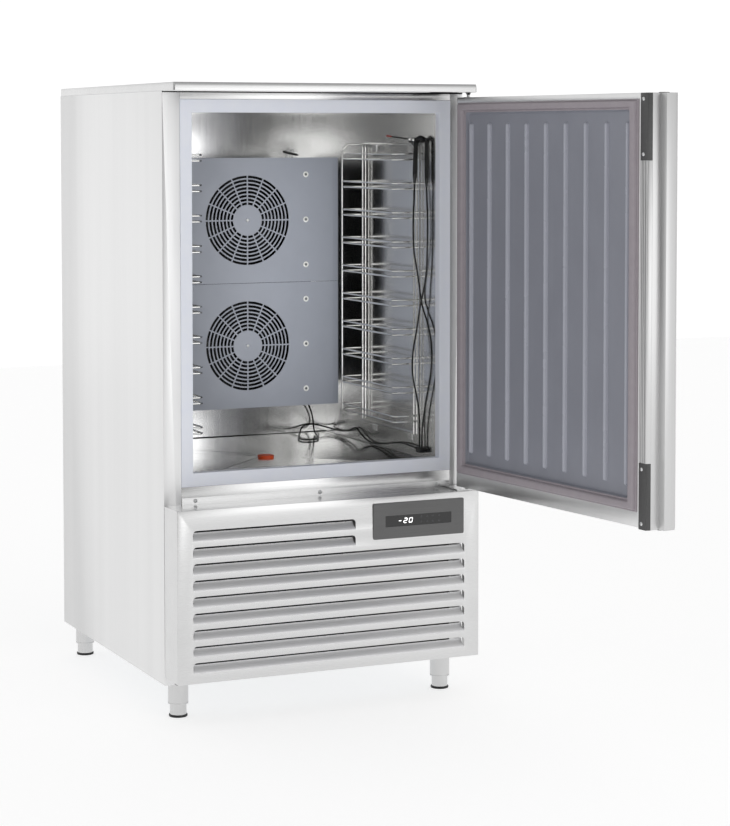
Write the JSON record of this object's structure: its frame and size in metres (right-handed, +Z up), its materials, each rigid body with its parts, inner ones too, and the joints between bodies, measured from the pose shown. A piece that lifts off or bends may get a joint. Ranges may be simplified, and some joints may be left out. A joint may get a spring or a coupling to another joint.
{
  "type": "blast chiller",
  "caption": "Upright stainless blast chiller with hinged insulated door, wire tray racks, evaporator fans and louvred plant cover.",
  "frame": {"origin": "on the floor, midway between the four legs", "axes": "+Z up, -Y towards the user at the door side, +X to the user's right"},
  "size_m": [0.905, 1.6587, 1.532],
  "materials": {
    "stainless_brushed": "fine brushed stainless sheet",
    "stainless_cell": "bright polished stainless liner sheet",
    "galvanised": "zinc coated sheet",
    "foam": "rigid polyurethane foam",
    "core_board": "core board under the worktop",
    "frame_plastic": "pale lavender moulded plastic",
    "panel_grey": "blue grey powder coat",
    "door_liner_grey": "vacuum formed grey sheet",
    "gasket_rubber": "soft grey gasket",
    "dark_plastic": "dark grey moulded plastic",
    "black_rubber": "black rubber",
    "bright_wire": "electropolished wire and screws",
    "satin_aluminium": "satin extrusion",
    "bezel_steel": "dark brushed bezel",
    "window_black": "black glossy window",
    "plug_orange": "orange plug",
    "black_paint": "black enamel",
    "fin_aluminium": "thin fins",
    "copper": "copper tube",
    "fan_plastic": "black fan plastic",
    "grey_pvc": "grey pipe and gland plastic"
  },
  "bodies": {
    "cabinet": {"side_panel_left": "stainless_brushed", "side_panel_right": "stainless_brushed", "back_panel": "galvanised", "worktop": "stainless_brushed", "worktop_core": "core_board", "worktop_spacers": "dark_plastic", "front_strips": "stainless_brushed", "opening_frame": "frame_plastic", "inner_liner": "stainless_cell", "insulation": "foam", "base_tray": "galvanised", "leg_sleeves": "stainless_brushed", "lower_cover": "stainless_brushed", "cover_screws": "bright_wire", "control_bezel": "bezel_steel", "display_window": "window_black", "control_module": "dark_plastic", "fan_panel_upper": "panel_grey", "fan_panel_lower": "panel_grey", "fan_motors": "black_paint", "evaporator_frame": "galvanised", "evaporator_coil": "fin_aluminium", "panel_screws": "bright_wire", "sensor_clip": "stainless_brushed", "rack_hooks": "stainless_brushed", "drain_spigot": "grey_pvc", "hinge_brackets": "stainless_brushed", "compressor": "black_paint", "compressor_mounts": "black_rubber", "condenser_coil": "fin_aluminium", "condenser_shroud": "galvanised", "condenser_motor": "black_paint", "electrical_box": "dark_plastic", "filter_drier": "copper", "refrigerant_pipes": "copper", "cable_glands": "grey_pvc"},
    "door": {"door_skin": "stainless_brushed", "door_foam": "foam", "door_inner_panel": "door_liner_grey", "door_gasket": "gasket_rubber", "door_edge_profile": "satin_aluminium", "door_end_caps": "dark_plastic", "door_cap_screws": "bright_wire", "hinge_bushes": "dark_plastic"},
    "rack_right": {"rack_right": "bright_wire", "probe_needle": "bright_wire", "probe_handle": "black_rubber", "probe_leads": "black_rubber", "probe_splice": "black_rubber", "probe_cable": "black_rubber"},
    "rack_left": {"rack_left": "bright_wire"},
    "drain_plug": {"drain_plug": "plug_orange"},
    "fan_upper": {"fan_blade_upper": "fan_plastic"},
    "fan_lower": {"fan_blade_lower": "fan_plastic"},
    "fan_condenser": {"condenser_fan": "fan_plastic"},
    "foot_front_left": {"foot_front_left": "stainless_brushed"},
    "foot_front_right": {"foot_front_right": "stainless_brushed"},
    "foot_rear_left": {"foot_rear_left": "stainless_brushed"},
    "foot_rear_right": {"foot_rear_right": "stainless_brushed"}
  },
  "joints": [
    {"name": "door_hinge", "type": "hinge", "parent": "cabinet", "child": "door", "pos_m": [0.387, -0.4575, 1], "axis": [0, 0, 1], "range_deg": [-97.3, 12.7]},
    {"name": "evaporator_fan_upper_spin", "type": "hinge", "parent": "cabinet", "child": "fan_upper", "pos_m": [0.005, 0.1, 1.18275], "axis": [0, -1, 0], "continuous": true},
    {"name": "evaporator_fan_lower_spin", "type": "hinge", "parent": "cabinet", "child": "fan_lower", "pos_m": [0.005, 0.1, 0.85075], "axis": [0, -1, 0], "continuous": true},
    {"name": "condenser_fan_spin", "type": "hinge", "parent": "cabinet", "child": "fan_condenser", "pos_m": [-0.13, 0, 0.2765], "axis": [0, -1, 0], "continuous": true},
    {"name": "rack_right_lift", "type": "slide", "parent": "cabinet", "child": "rack_right", "axis": [0, 0, 1], "range_m": [0, 0.012]},
    {"name": "rack_left_lift", "type": "slide", "parent": "cabinet", "child": "rack_left", "axis": [0, 0, 1], "range_m": [0, 0.012]},
    {"name": "drain_plug_pull", "type": "slide", "parent": "cabinet", "child": "drain_plug", "axis": [0, 0, 1], "range_m": [0, 0.03]},
    {"name": "foot_front_left_height", "type": "slide", "parent": "cabinet", "child": "foot_front_left", "axis": [0, 0, 1], "range_m": [-0.03, 0]},
    {"name": "foot_front_right_height", "type": "slide", "parent": "cabinet", "child": "foot_front_right", "axis": [0, 0, 1], "range_m": [-0.03, 0]},
    {"name": "foot_rear_left_height", "type": "slide", "parent": "cabinet", "child": "foot_rear_left", "axis": [0, 0, 1], "range_m": [-0.03, 0]},
    {"name": "foot_rear_right_height", "type": "slide", "parent": "cabinet", "child": "foot_rear_right", "axis": [0, 0, 1], "range_m": [-0.03, 0]}
  ]
}
